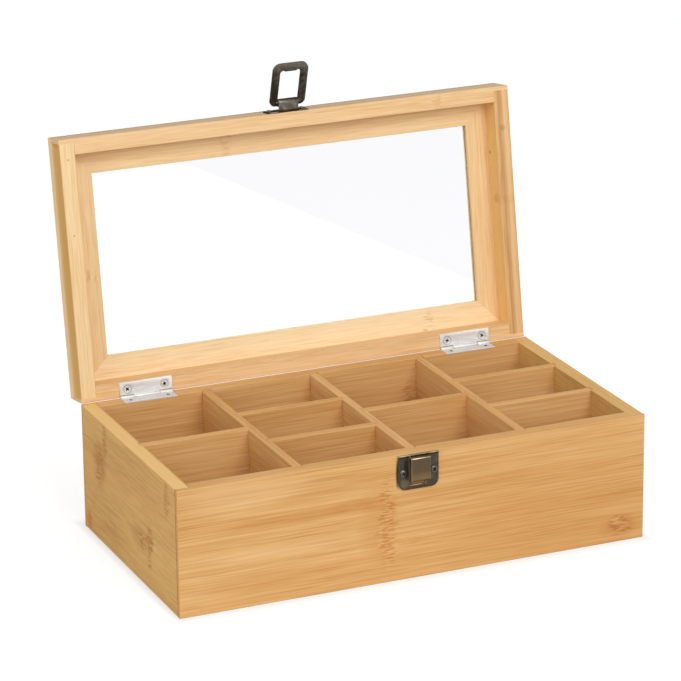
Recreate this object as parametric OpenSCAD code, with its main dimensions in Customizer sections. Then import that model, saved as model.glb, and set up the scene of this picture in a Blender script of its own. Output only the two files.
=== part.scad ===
// Tea bag organizer box: a bamboo box with a hinged window lid, ten compartments
// and a toggle latch. The origin is the middle of the underside; the front faces -Y.

/* [Box] */
// Outside width of the box, left to right
box_width = 335; // [290:1:380]
// Outside depth of the box, front to back
box_depth = 180; // [150:1:220]
// Height of the box walls, without the lid
box_height = 88; // [75:1:120]
// Thickness of the four wall boards
wall = 10; // [9:0.5:12]
// Thickness of the bottom board
bottom_thickness = 4; // [3:0.5:6]
// How far the bottom board reaches into the rebate of the walls
bottom_rebate = 5; // [3:0.5:6]
// Wood left at the end of a board where the next board is housed behind it
corner_lip = 3; // [2:0.5:4]
// Radius of the eased outer edges of the boards
edge_round = 0.5; // [0.3:0.1:1.5]

/* [Dividers] */
// Thickness of the divider boards
divider = 6; // [5:0.5:8]
// Depth of the grooves that hold the ends of the dividers
groove_depth = 2; // [1:0.25:2.25]
// Play round a divider end in its groove
groove_play = 0.1; // [0.05:0.05:0.2]
// How far the dividers stay below the top of the walls
divider_drop = 0.5; // [0:0.1:5]

/* [Lid] */
// How much narrower the lid is than the box at each side
lid_inset = 0.7; // [0.3:0.1:2]
// Thickness of the rim boards under the lid frame
rim_thickness = 11; // [10:0.5:13]
// Height of the rim boards under the lid frame
rim_height = 16; // [12:0.5:20]
// Width of the mitred frame boards round the window
frame_width = 27; // [22:0.5:35]
// Thickness of the mitred frame boards
frame_thickness = 6.5; // [6:0.5:9]
// Radius of the long back edge on top of the lid
back_round = 2.2; // [1:0.1:3]
// Thickness of the window pane
pane_thickness = 2; // [1.5:0.1:3]
// How far the pane reaches into the frame boards
pane_hold = 5; // [3:0.5:7]
// Play round the pane in its groove
pane_play = 0.1; // [0.05:0.05:0.2]
// Gap between the box and the closed lid
lid_gap = 0.8; // [0.7:0.1:1.5]
// Angle from the closed lid to the open lid
open_angle = 99.2; // [91:0.2:110]

/* [Hinges] */
// Length of a hinge leaf
leaf_length = 38; // [32:1:45]
// Thickness of the leaf sheet
leaf_thickness = 0.8; // [0.6:0.1:1]
// Gap left between the two leaves of a closed hinge
leaf_gap = 0.3; // [0.3:0.05:0.5]
// Distance from the side of the box to the middle of a hinge
hinge_inset = 47.5; // [40:0.5:60]
// Length of the middle knuckle
middle_knuckle = 19; // [14:0.5:22]
// Diameter of the hinge pin
pin_diameter = 1.4; // [1.2:0.1:1.6]
// Wall of the rolled knuckle
knuckle_wall = 0.6; // [0.5:0.1:0.8]
// Distance between the two screws of a leaf
leaf_screw_spacing = 27; // [25:0.5:28]
// Distance from the pin to the line of screws
leaf_screw_line = 5.6; // [5:0.1:6]
// Length of a hinge screw
hinge_screw_length = 10; // [8:0.5:12]

/* [Latch] */
// Distance of the latch from the middle of the front, to the right
latch_offset = 0.6; // [-10:0.2:10]
// Width of the catch plate on the box
catch_width = 28.7; // [28:0.1:34]
// Height of the catch plate
catch_height = 24; // [23.5:0.5:27]
// Thickness of the catch plate sheet
catch_sheet = 1.2; // [1:0.1:1.4]
// Distance of the catch plate below the top edge of the box
catch_drop = 1; // [0.5:0.1:2]
// Radius of the two lower corners of the catch plate
catch_corner = 5; // [2:0.5:6]
// Width of the hooked tongue
tongue_width = 13.7; // [12:0.1:14]
// How far the tongue stands out from the box
tongue_reach = 5.2; // [4.8:0.1:5.4]
// Height of the tongue
tongue_height = 18.1; // [16:0.1:18.2]
// How much lower the top of the tongue is at its front edge
tongue_fall = 1.5; // [0:0.1:2]
// Width of the lid plate
lid_plate_width = 29.4; // [29.2:0.2:36]
// Height of the lid plate
lid_plate_height = 13; // [11:0.5:14]
// Thickness of the lid plate sheet
lid_plate_sheet = 1; // [0.8:0.1:1.1]
// Distance of the bail pivot in front of the lid
pivot_reach = 6.8; // [6.5:0.1:7.5]
// Diameter of the bail where it turns in the curl
bail_rod = 3.2; // [2.6:0.1:3.4]
// Radial play of the bail in the curl
bail_play = 0.08; // [0.04:0.01:0.1]
// Outside width of the bail
bail_width = 25.9; // [25:0.1:29]
// Outside length of the bail
bail_length = 33; // [31.5:0.1:35]
// Width of the opening in the bail
bail_opening = 15.2; // [15:0.1:16]
// Thickness of the flat bail
bail_thickness = 1.8; // [1.4:0.1:2]
// Angle that the bail droops from straight out of the lid
bail_angle = 25.5; // [0:0.5:60]
// Distance between the two screws of the catch plate
catch_screw_spacing = 22; // [21.5:0.1:22.5]
// Distance between the two screws of the lid plate
lid_screw_spacing = 23.8; // [23:0.1:24.4]
// Length of a latch screw
latch_screw_length = 8; // [6:0.5:9]

/* [Hidden] */
$fn = 48;

// Overshoot of a cutting tool past the face that it cuts
cut = 1;
// Radius of the edges that lie in a glued joint
seam_round = 0.4;

// Places of the box
front_y = -box_depth / 2;
back_y = box_depth / 2;
side_x = box_width / 2;
inside_width = box_width - 2 * wall;
inside_depth = box_depth - 2 * wall;
divider_height = box_height - bottom_thickness - divider_drop;
column_pitch = (inside_width + divider) / 4;
column_width = column_pitch - divider;
// Places of the cross dividers in a column of two and in a column of three
half_split = [0];
third_pitch = (inside_depth + divider) / 3;
third_split = [-third_pitch / 2, third_pitch / 2];

// Places of the closed lid
lid_x = side_x - lid_inset;
lid_z = box_height + lid_gap;
frame_z = lid_z + rim_height;
pane_z = frame_z + (frame_thickness - pane_thickness) / 2;
window_x = lid_x - frame_width;
window_y = back_y - frame_width;

// Hinges
leaf_near = leaf_gap / 2;
leaf_far = leaf_near + leaf_thickness;
hinge_x = side_x - hinge_inset;
hinge_y = back_y;
// The lid leaf lies on the rim, the box leaf is let into the back board
hinge_z = lid_z - leaf_far;
box_leaf_width = wall - 0.1;
lid_leaf_width = rim_thickness - 0.6;
knuckle_radius = pin_diameter / 2 + knuckle_wall;
barrel_clearance = 0.3;
knuckle_play = 0.15;
pin_fixed_play = 0.02;
pin_running_play = 0.05;
mortise_play = 0.1;
hinge_head = 4.6;
hinge_shank = 2.4;

// Screw recess and play of a screw in its hole
recess_length = 3;
recess_width = 0.9;
recess_depth = 0.9;
screw_play = 0.05;

// Latch
catch_top = box_height - catch_drop;
catch_screw_z = catch_top - 12.2;
tongue_bottom = catch_top - tongue_height;
slot_width = 9.6;
slot_bottom = tongue_bottom - 2.7;
curl_inner = bail_rod / 2 + bail_play;
curl_outer = curl_inner + lid_plate_sheet;
pivot_z = lid_z + curl_outer;
curl_width = bail_opening - 0.8;
relief = 0.3;
lid_screw_z = lid_z + 7.2;
catch_head = 5.4;
lid_head = 5;
latch_shank = 2.4;
head_rise = 1.1;
bail_near = 2.2;
bail_far_bar = 5.2;
bail_lip = 0.8;
bail_lip_width = 9;
bail_outer_round = 5.5;
bail_near_round = 4;
bail_inner_round = 2.5;

bamboo = [0.87, 0.68, 0.43];
bamboo_dark = [0.80, 0.60, 0.37];
steel = [0.80, 0.80, 0.79];
bronze = [0.20, 0.18, 0.16];
glass = [0.82, 0.88, 0.92, 0.4];

// ---- Shared shapes ----

// Square corner minus a quarter disc: what is taken off to round a corner at the origin
module corner_waste(radius)
{
    difference() {
        translate([-cut, -cut]) square(radius + cut);
        translate([radius, radius]) circle(radius);
    }
}

// Rectangle from the origin with one radius per corner: low left, low right, high right, high left
module soft_rectangle(size, radii)
{
    corners = [[0, 0, 0], [size.x, 0, 90], [size.x, size.y, 180], [0, size.y, 270]];
    difference() {
        square(size);
        for (i = [0:3]) {
            if (radii[i] > 0)
                translate([corners[i].x, corners[i].y]) rotate(corners[i].z) corner_waste(radii[i]);
        }
    }
}

// Bar along X, centred, whose section in Y and Z is drawn by the child
module along_x(length)
{
    translate([-length / 2, 0, 0]) rotate([90, 0, 90]) linear_extrude(length) children();
}

// Bar along Y, centred, whose section in X and Z is drawn by the child
module along_y(length)
{
    translate([0, length / 2, 0]) rotate([90, 0, 0]) linear_extrude(length) children();
}

// Copies the child to the left and the right
module both_sides()
{
    children();
    mirror([1, 0, 0]) children();
}

// Block between two corners
module block(low, high)
{
    translate(low) cube(high - low);
}

// Countersunk screw that points down, its head level with z = 0
module flat_screw(head, shank, length, play = 0)
{
    sink = (head - shank) / 2;
    translate([0, 0, -sink]) cylinder(h = sink, d1 = shank + 2 * play, d2 = head + 2 * play);
    translate([0, 0, -length + shank / 2]) cylinder(h = length - shank / 2, d = shank + 2 * play);
    translate([0, 0, -length - play]) cylinder(h = shank / 2 + play, d1 = 0.4 + 2 * play, d2 = shank + 2 * play);
}

// Round-head screw that points down, its head seated on z = 0
module round_screw(head, shank, length, rise)
{
    cap_radius = (head * head / 4 + rise * rise) / (2 * rise);
    intersection() {
        translate([0, 0, rise - cap_radius]) sphere(cap_radius);
        cylinder(h = rise + cut, d = head);
    }
    translate([0, 0, -length + shank / 2]) cylinder(h = length - shank / 2 + 0.2, d = shank);
    translate([0, 0, -length]) cylinder(h = shank / 2, d1 = 0.4, d2 = shank);
}

// Cross recess cut from z = 0 downwards
module cross_recess(depth)
{
    for (turn = [0, 90])
        rotate(turn) translate([-recess_length / 2, -recess_width / 2, -depth])
            cube([recess_length, recess_width, depth + cut]);
}

// Closed lid turned back about the hinge pins
module opened()
{
    translate([0, hinge_y, hinge_z]) rotate([-open_angle, 0, 0])
        translate([0, -hinge_y, -hinge_z]) children();
}

// ---- Box boards ----

// Front or back board, drawn as the front one: its ends lap over the side boards
module cross_board()
{
    difference() {
        translate([0, front_y, 0]) along_x(box_width)
            soft_rectangle([wall, box_height], [edge_round, 0, edge_round, edge_round]);
        both_sides() {
            block([side_x - wall, front_y + corner_lip, -cut],
                [side_x + cut, front_y + wall + cut, box_height + cut]);
            translate([side_x, front_y, -cut]) rotate(90) linear_extrude(box_height + 2 * cut)
                corner_waste(edge_round);
        }
        bottom_recess();
        for (i = [-1:1]) long_divider_groove(i);
    }
}

// Room for the bottom board in the foot of the walls
module bottom_recess()
{
    x = inside_width / 2 + bottom_rebate;
    y = inside_depth / 2 + bottom_rebate;
    block([-x, -y, -cut], [x, y, bottom_thickness]);
}

// Grooves in the front and back boards for the ends of a long divider
module long_divider_groove(i)
{
    x = i * column_pitch;
    half = divider / 2 + groove_play;
    y = inside_depth / 2 + groove_depth;
    block([x - half, -y, bottom_thickness - cut], [x + half, y, box_height + cut]);
}

// Room for one cross divider between the boards at the sides of its column
module cross_divider_room(column, y)
{
    x = (column - 1.5) * column_pitch;
    half = column_width / 2 + groove_depth;
    half_y = divider / 2 + groove_play;
    block([x - half, y - half_y, bottom_thickness - cut], [x + half, y + half_y, box_height + cut]);
}

// Rooms for all the cross dividers
module cross_divider_rooms()
{
    for (column = [0, 2], y = half_split) cross_divider_room(column, y);
    for (column = [1, 3], y = third_split) cross_divider_room(column, y);
}

module front_panel()
{
    color(bamboo) difference() {
        cross_board();
        catch_screw_places() latch_screw_hole(latch_screw_length - catch_sheet);
    }
}

module back_panel()
{
    color(bamboo) difference() {
        rotate(180) cross_board();
        hinge_places() {
            barrel_room();
            box_leaf_room();
            box_leaf_screws() flat_screw(hinge_head, hinge_shank, hinge_screw_length, screw_play);
        }
    }
}

// Side board, drawn as the right one
module side_board()
{
    length = box_depth - 2 * corner_lip;
    difference() {
        translate([side_x - wall, 0, 0]) along_y(length)
            soft_rectangle([wall, box_height], [0, edge_round, edge_round, edge_round]);
        for (end = [0, 1]) mirror([0, end, 0])
            translate([side_x, -length / 2, -cut]) rotate(90)
                linear_extrude(box_height + 2 * cut) corner_waste(seam_round);
        bottom_recess();
    }
}

module right_panel()
{
    color(bamboo_dark) difference() {
        side_board();
        cross_divider_rooms();
    }
}

module left_panel()
{
    color(bamboo_dark) difference() {
        mirror([1, 0, 0]) side_board();
        cross_divider_rooms();
    }
}

module bottom_panel()
{
    x = inside_width / 2 + bottom_rebate;
    y = inside_depth / 2 + bottom_rebate;
    color(bamboo_dark) block([-x, -y, 0], [x, y, bottom_thickness]);
}

// ---- Dividers ----

// Section of a divider board with eased top edges, standing on the bottom board
module divider_section()
{
    translate([-divider / 2, bottom_thickness])
        soft_rectangle([divider, divider_height], [0, 0, edge_round, edge_round]);
}

module long_divider(i)
{
    length = inside_depth + 2 * (groove_depth - groove_play);
    color(bamboo) difference() {
        translate([i * column_pitch, 0, 0]) along_y(length) divider_section();
        cross_divider_rooms();
    }
}

module cross_divider(column, y)
{
    length = column_width + 2 * (groove_depth - groove_play);
    color(bamboo_dark) translate([(column - 1.5) * column_pitch, y, 0]) along_x(length) divider_section();
}

// ---- Hinges ----

// Places the child, drawn round a pin at the origin, at both hinges
module hinge_places()
{
    both_sides() at_hinge() children();
}

module at_hinge()
{
    translate([hinge_x, hinge_y, hinge_z]) children();
}

// Round room for the barrel between box and lid
module barrel_room()
{
    along_x(leaf_length + 2 * barrel_clearance) circle(knuckle_radius + barrel_clearance);
}

// Mortise for the leaf in the top of the back board
module box_leaf_room()
{
    half = leaf_length / 2 + mortise_play;
    block([-half, -wall - cut, -leaf_far], [half, cut, leaf_far]);
}

// Places of the screws of a leaf under the hinge pin, heads up
module box_leaf_screws()
{
    for (side = [-1, 1])
        translate([side * leaf_screw_spacing / 2, -leaf_screw_line, -leaf_near]) children();
}

// Places of the screws of a leaf over the hinge pin, heads down
module lid_leaf_screws()
{
    mirror([0, 0, 1]) box_leaf_screws() children();
}

// Leaf under the pin with a knuckle over the part of its length between start and end,
// measured from the middle of the hinge outwards; mirrored for the other half
module leaf(width, start, end, bore_play)
{
    half = leaf_length / 2;
    relief_edge = knuckle_radius + barrel_clearance;
    difference() {
        union() {
            block([-half, -width, -leaf_far], [half, -relief_edge, -leaf_near]);
            both_sides() {
                block([start, -relief_edge - cut, -leaf_far], [end, 0, -leaf_near]);
                translate([(start + end) / 2, 0, 0]) along_x(end - start) circle(knuckle_radius);
            }
        }
        along_x(leaf_length + 2 * cut) circle(pin_diameter / 2 + bore_play);
        box_leaf_screws() flat_screw(hinge_head, hinge_shank, hinge_screw_length, screw_play);
    }
}

module box_leaf()
{
    color(steel) at_hinge()
        leaf(box_leaf_width, middle_knuckle / 2 + knuckle_play, leaf_length / 2, pin_fixed_play);
}

module lid_leaf()
{
    color(steel) at_hinge() mirror([0, 0, 1])
        leaf(lid_leaf_width, 0, middle_knuckle / 2 - knuckle_play, pin_running_play);
}

module hinge_pin()
{
    color(steel) at_hinge() along_x(leaf_length) circle(pin_diameter / 2);
}

module hinge_screw()
{
    difference() {
        flat_screw(hinge_head, hinge_shank, hinge_screw_length);
        cross_recess(recess_depth);
    }
}

module box_hinge_screws()
{
    color(steel) hinge_places() box_leaf_screws() hinge_screw();
}

module lid_hinge_screws()
{
    color(steel) opened() hinge_places() lid_leaf_screws() hinge_screw();
}

// ---- Lid ----

// Front or back rim board of the closed lid, drawn as the front one
module cross_rim()
{
    difference() {
        translate([0, front_y, lid_z]) along_x(2 * lid_x)
            soft_rectangle([rim_thickness, rim_height], [edge_round, edge_round, 0, seam_round]);
        both_sides() {
            block([lid_x - rim_thickness, front_y + corner_lip, lid_z - cut],
                [lid_x + cut, front_y + rim_thickness + cut, frame_z + cut]);
            translate([lid_x, front_y, lid_z - cut]) rotate(90) linear_extrude(rim_height + 2 * cut)
                corner_waste(edge_round);
        }
    }
}

module lid_front_rim()
{
    color(bamboo) opened() difference() {
        cross_rim();
        lid_screw_places() latch_screw_hole(latch_screw_length - lid_plate_sheet);
    }
}

module lid_back_rim()
{
    color(bamboo) opened() difference() {
        rotate(180) cross_rim();
        hinge_places() {
            barrel_room();
            lid_leaf_screws() flat_screw(hinge_head, hinge_shank, hinge_screw_length, screw_play);
        }
    }
}

// Side rim board of the closed lid, drawn as the right one
module side_rim()
{
    length = box_depth - 2 * corner_lip;
    difference() {
        translate([lid_x - rim_thickness, 0, lid_z]) along_y(length)
            soft_rectangle([rim_thickness, rim_height], [edge_round, edge_round, seam_round, 0]);
        for (end = [0, 1]) mirror([0, end, 0])
            translate([lid_x, -length / 2, lid_z - cut]) rotate(90)
                linear_extrude(rim_height + 2 * cut) corner_waste(seam_round);
    }
}

module lid_right_rim()
{
    color(bamboo_dark) opened() side_rim();
}

module lid_left_rim()
{
    color(bamboo_dark) opened() mirror([1, 0, 0]) side_rim();
}

// Section of a frame board: outer edge at 0, window edge at its width, with the pane groove
module frame_section(outer_round)
{
    groove = pane_thickness + 2 * pane_play;
    difference() {
        soft_rectangle([frame_width, frame_thickness], [seam_round, edge_round, edge_round, outer_round]);
        translate([frame_width - pane_hold, (frame_thickness - groove) / 2])
            square([pane_hold + cut, groove]);
    }
}

// Front or back frame board of the closed lid, drawn as the front one, with mitred ends
module long_frame_board(outer_round)
{
    low = frame_z - cut;
    difference() {
        translate([0, front_y, frame_z]) along_x(2 * lid_x) frame_section(outer_round);
        both_sides() {
            translate([lid_x, front_y, low]) linear_extrude(frame_thickness + 2 * cut)
                polygon([[cut, -cut], [cut, frame_width + cut], [-frame_width - cut, frame_width + cut]]);
            translate([lid_x, front_y, low]) rotate(90) linear_extrude(frame_thickness + 2 * cut)
                corner_waste(edge_round);
        }
    }
}

// Side frame board of the closed lid, drawn as the left one, with mitred ends
module short_frame_board()
{
    low = frame_z - cut;
    difference() {
        translate([-lid_x, 0, frame_z]) along_y(box_depth) frame_section(edge_round);
        for (end = [0, 1]) mirror([0, end, 0]) {
            translate([-lid_x, front_y, low]) linear_extrude(frame_thickness + 2 * cut)
                polygon([[-cut, -cut], [frame_width + cut, -cut], [frame_width + cut, frame_width + cut]]);
            translate([-lid_x, front_y, low]) linear_extrude(frame_thickness + 2 * cut)
                corner_waste(edge_round);
        }
    }
}

module window_frame_front()
{
    color(bamboo) opened() long_frame_board(edge_round);
}

module window_frame_back()
{
    color(bamboo) opened() rotate(180) long_frame_board(back_round);
}

module window_frame_left()
{
    color(bamboo_dark) opened() short_frame_board();
}

module window_frame_right()
{
    color(bamboo_dark) opened() mirror([1, 0, 0]) short_frame_board();
}

module window_pane()
{
    x = window_x + pane_hold - pane_play;
    y = window_y + pane_hold - pane_play;
    color(glass) opened() block([-x, -y, pane_z], [x, y, pane_z + pane_thickness]);
}

// ---- Latch ----

// Places of the catch screws on the front of the box, pointing into the wood
module catch_screw_places()
{
    for (side = [-1, 1])
        translate([latch_offset + side * catch_screw_spacing / 2, front_y, catch_screw_z])
            rotate([90, 0, 0]) children();
}

// Places of the lid screws on the front of the closed lid, pointing into the wood
module lid_screw_places()
{
    for (side = [-1, 1])
        translate([latch_offset + side * lid_screw_spacing / 2, front_y, lid_screw_z])
            rotate([90, 0, 0]) children();
}

// Pilot hole below z = 0
module latch_screw_hole(depth)
{
    translate([0, 0, -depth - 2 * screw_play]) cylinder(h = depth + 2 * screw_play + cut, d = latch_shank + 2 * screw_play);
}

module latch_screw(head)
{
    difference() {
        round_screw(head, latch_shank, latch_screw_length, head_rise);
        translate([0, 0, head_rise]) cross_recess(recess_depth);
    }
}

// Section of the tongue less a skin: reach from the box front and height over its lower edge
module tongue_section(skin)
{
    bend = 1.2 - skin / 2;
    hook = 2.2;
    front = tongue_reach - skin;
    slope = tongue_fall / tongue_reach;
    turn = atan(slope);
    middle = [front - bend,
        tongue_height - skin - slope * (front - bend) - bend * sqrt(1 + slope * slope)];
    meet = middle + bend * [sin(turn), cos(turn)];
    difference() {
        translate([-skin, skin])
            soft_rectangle([tongue_reach, tongue_height - 2 * skin], [0, hook - skin, 0, 0]);
        translate([0, tongue_height - skin]) rotate(-turn) square([2 * tongue_reach, tongue_reach]);
        difference() {
            polygon([[front, middle.y], [front + cut, middle.y], [front + cut, tongue_height + cut],
                [meet.x, tongue_height + cut], meet]);
            translate(middle) circle(bend);
        }
    }
}

module catch_plate()
{
    color(bronze) translate([latch_offset, front_y, 0]) difference() {
        union() {
            translate([-catch_width / 2, 0, catch_top - catch_height]) rotate([90, 0, 0])
                linear_extrude(catch_sheet)
                    soft_rectangle([catch_width, catch_height], [catch_corner, catch_corner, 0, 0]);
            translate([0, 0, tongue_bottom]) along_x(tongue_width) mirror([1, 0]) tongue_section(0);
        }
        translate([0, 0, tongue_bottom]) along_x(tongue_width - 2 * catch_sheet) mirror([1, 0])
            tongue_section(catch_sheet);
        block([-slot_width / 2, -catch_sheet - cut, slot_bottom], [slot_width / 2, cut, tongue_bottom]);
        translate([-latch_offset, -front_y, 0]) catch_screw_places()
            translate([0, 0, -cut]) cylinder(h = catch_sheet + 2 * cut, d = latch_shank + 4 * screw_play);
    }
}

module catch_screws()
{
    color(bronze) catch_screw_places() translate([0, 0, catch_sheet]) latch_screw(catch_head);
}

// Section of the lid plate through its curl: reach from the lid front and height over its edge
module curl_section()
{
    bend = pivot_reach - curl_outer - 0.9;
    slit = 0.5;
    translate([0, bend]) square([lid_plate_sheet, lid_plate_height - bend]);
    difference() {
        translate([bend, bend]) circle(bend);
        translate([bend, bend]) circle(bend - lid_plate_sheet);
        translate([-cut, bend]) square([2 * bend + 2 * cut, bend + cut]);
        translate([bend, -cut]) square(bend + 2 * cut);
    }
    difference() {
        union() {
            translate([bend, 0]) square([pivot_reach - bend, lid_plate_sheet]);
            translate([pivot_reach, curl_outer]) circle(curl_outer);
        }
        translate([pivot_reach, curl_outer]) circle(curl_inner);
        translate([pivot_reach - curl_outer - cut, lid_plate_sheet])
            square([curl_outer + cut - curl_inner + slit, slit]);
    }
}

module latch_plate()
{
    color(bronze) opened() translate([latch_offset, front_y, lid_z]) difference() {
        union() {
            difference() {
                translate([-lid_plate_width / 2, 0, 0]) rotate([90, 0, 0]) linear_extrude(lid_plate_sheet)
                    soft_rectangle([lid_plate_width, lid_plate_height], [1, 1, 2, 2]);
                block([-curl_width / 2 - relief, -lid_plate_sheet - cut, -cut],
                    [curl_width / 2 + relief, cut, lid_plate_height / 2]);
            }
            along_x(curl_width) mirror([1, 0]) curl_section();
        }
        translate([-latch_offset, -front_y, -lid_z]) lid_screw_places()
            translate([0, 0, -cut]) cylinder(h = lid_plate_sheet + 2 * cut, d = latch_shank + 4 * screw_play);
    }
}

module latch_screws()
{
    color(bronze) opened() lid_screw_places() translate([0, 0, lid_plate_sheet]) latch_screw(lid_head);
}

// Outline of the flat bail: pivot at the origin, free end upwards
module bail_outline()
{
    opening_end = bail_length - bail_near - bail_far_bar;
    difference() {
        translate([-bail_width / 2, -bail_near])
            soft_rectangle([bail_width, bail_length],
                [bail_near_round, bail_near_round, bail_outer_round, bail_outer_round]);
        translate([-bail_opening / 2, -bail_near - cut])
            soft_rectangle([bail_opening, opening_end + bail_near + cut],
                [0, 0, bail_inner_round, bail_inner_round]);
    }
    translate([-bail_lip_width / 2, opening_end - bail_lip]) square([bail_lip_width, bail_lip + cut]);
}

module latch_bail()
{
    color(bronze) opened() translate([latch_offset, front_y - pivot_reach, pivot_z])
        rotate([bail_angle, 0, 0]) {
            translate([0, 0, -bail_thickness / 2]) linear_extrude(bail_thickness)
                mirror([0, 1]) bail_outline();
            along_x(bail_opening + 2 * cut) circle(d = bail_rod);
        }
}

// ---- The part ----

front_panel();
back_panel();
left_panel();
right_panel();
bottom_panel();
long_divider(-1);  // left_long_divider
long_divider(0);  // middle_long_divider
long_divider(1);  // right_long_divider
cross_divider(0, half_split[0]);  // first_column_divider
cross_divider(1, third_split[0]);  // second_column_front_divider
cross_divider(1, third_split[1]);  // second_column_back_divider
cross_divider(2, half_split[0]);  // third_column_divider
cross_divider(3, third_split[0]);  // fourth_column_front_divider
cross_divider(3, third_split[1]);  // fourth_column_back_divider
mirror([1, 0, 0]) box_leaf();  // left_hinge_box_leaf
box_leaf();  // right_hinge_box_leaf
mirror([1, 0, 0]) hinge_pin();  // left_hinge_pin
hinge_pin();  // right_hinge_pin
box_hinge_screws();
catch_plate();
catch_screws();
lid_front_rim();
lid_back_rim();
lid_left_rim();
lid_right_rim();
window_frame_front();
window_frame_back();
window_frame_left();
window_frame_right();
window_pane();
opened() mirror([1, 0, 0]) lid_leaf();  // left_hinge_lid_leaf
opened() lid_leaf();  // right_hinge_lid_leaf
lid_hinge_screws();
latch_plate();
latch_screws();
latch_bail();
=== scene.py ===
"""Bamboo tea box with ten compartments, a glazed lid on two hinges and a toggle latch."""

import logging
import math
from dataclasses import dataclass, fields
from enum import Enum

import bmesh
import bpy
from mathutils import Euler, Matrix, Vector


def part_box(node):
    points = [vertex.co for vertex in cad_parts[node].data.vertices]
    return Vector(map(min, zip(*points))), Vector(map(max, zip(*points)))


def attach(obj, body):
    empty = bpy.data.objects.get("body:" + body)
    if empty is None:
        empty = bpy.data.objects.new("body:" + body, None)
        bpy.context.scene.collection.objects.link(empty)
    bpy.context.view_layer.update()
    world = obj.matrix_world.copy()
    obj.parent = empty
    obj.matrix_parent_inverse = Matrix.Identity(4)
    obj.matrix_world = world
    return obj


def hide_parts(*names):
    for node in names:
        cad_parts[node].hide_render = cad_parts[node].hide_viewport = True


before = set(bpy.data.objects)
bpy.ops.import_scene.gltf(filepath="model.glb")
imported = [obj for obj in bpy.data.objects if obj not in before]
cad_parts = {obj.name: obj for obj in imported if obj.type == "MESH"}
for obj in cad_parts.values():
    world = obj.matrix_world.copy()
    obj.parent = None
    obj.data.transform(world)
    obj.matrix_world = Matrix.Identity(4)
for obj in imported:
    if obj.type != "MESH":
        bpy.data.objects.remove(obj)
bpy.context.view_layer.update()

LOG = logging.getLogger("tea_box")
MM = 0.001
Material = bpy.types.Material
PIN_Z = 87.85  # height of the hinge pins, in mm
WELD = 0.002 * MM  # vertices that are nearer than this are one
Triple = tuple[float, float, float]
Colour = Triple


def paint(red: int, green: int, blue: int) -> Colour:
    """Linear colour of a paint given in 0 to 255 display steps.

    Args:
        red: Red step.
        green: Green step.
        blue: Blue step.

    Returns:
        The linear red, green and blue.
    """
    steps = (channel / 255 for channel in (red, green, blue))
    return tuple(s / 12.92 if s <= 0.04045 else ((s + 0.055) / 1.055) ** 2.4 for s in steps)


class Body(Enum):
    """Bodies of the model, by their names in the frame."""

    BOX = "box"
    LID = "lid"
    BAIL = "bail"


class Slot(Enum):
    """Material slots of the pieces that stand for metal nodes."""

    STEEL = "hinge_steel"
    BRONZE = "latch_bronze"


# ---- Node trees ----


class Value:
    """A socket of a node tree that can stand in a sum."""

    def __init__(self, tree: "Tree", socket: bpy.types.NodeSocket) -> None:
        """Wraps a socket.

        Args:
            tree: Tree that new Math nodes go into.
            socket: Output socket to wrap.
        """
        self.tree = tree
        self.socket = socket

    def _sum(self, operation: str, first: object, second: object) -> "Value":
        """Result of a Math node for two values or numbers."""
        return self.tree.add("ShaderNodeMath", {0: first, 1: second}, operation=operation)

    def __add__(self, other: object) -> "Value":
        """Sum with a value or number."""
        return self._sum("ADD", self, other)

    def __sub__(self, other: object) -> "Value":
        """Difference to a value or number."""
        return self._sum("SUBTRACT", self, other)

    def __rsub__(self, other: object) -> "Value":
        """Number minus this value."""
        return self._sum("SUBTRACT", other, self)

    def __mul__(self, other: object) -> "Value":
        """Product with a value or number."""
        return self._sum("MULTIPLY", self, other)

    def __truediv__(self, other: object) -> "Value":
        """Quotient by a value or number."""
        return self._sum("DIVIDE", self, other)

    __radd__ = __add__
    __rmul__ = __mul__

    def apply(self, operation: str, other: object = 0.0) -> "Value":
        """Result of any other Math operation on this value, such as SINE or MAXIMUM."""
        return self._sum(operation, self, other)

    def ramp(self, low: float, high: float, to_low: float = 0.0, to_high: float = 1.0,
             way: str = "SMOOTHSTEP") -> "Value":
        """Maps a range of this value to another range.

        Args:
            low: Value that gives to_low.
            high: Value that gives to_high.
            to_low: Result at and below low.
            to_high: Result at and above high.
            way: SMOOTHSTEP for a soft start and end, or LINEAR.

        Returns:
            The mapped value.
        """
        sockets = {"Value": self, "From Min": low, "From Max": high, "To Min": to_low, "To Max": to_high}
        return self.tree.add("ShaderNodeMapRange", sockets, interpolation_type=way)


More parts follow.
